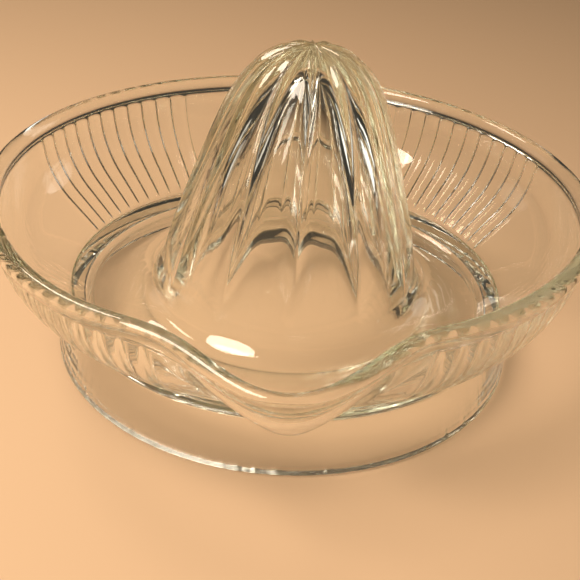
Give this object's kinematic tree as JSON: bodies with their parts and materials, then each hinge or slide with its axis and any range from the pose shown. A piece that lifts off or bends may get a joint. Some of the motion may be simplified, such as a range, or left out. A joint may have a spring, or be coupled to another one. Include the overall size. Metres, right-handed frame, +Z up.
{
  "type": "citrus juicer",
  "caption": "Clear glass citrus juicer: ridged hollow reaming cone in a shallow round bowl with a V-shaped pouring spout, fluted wall panels and a hollow foot ring.",
  "frame": {"origin": "on the bowl's axis, at the plane that the foot ring rests on", "axes": "+Z up along the bowl's axis; -Y from the axis out through the pouring spout; +X to the right of a person who faces the spout"},
  "size_m": [0.1542, 0.1632, 0.0806],
  "materials": {
    "glass": "clear fire-polished pressed glass with a faint yellow-green tint where it is thick"
  },
  "bodies": {
    "root": {"foot_ring": "glass", "bowl_floor": "glass", "bowl_wall": "glass", "rim_bead": "glass", "pouring_spout": "glass", "reamer_cone": "glass", "flutes_front_left": "glass", "flutes_front_right": "glass", "flutes_back_left": "glass", "flutes_back_right": "glass"}
  },
  "joints": []
}
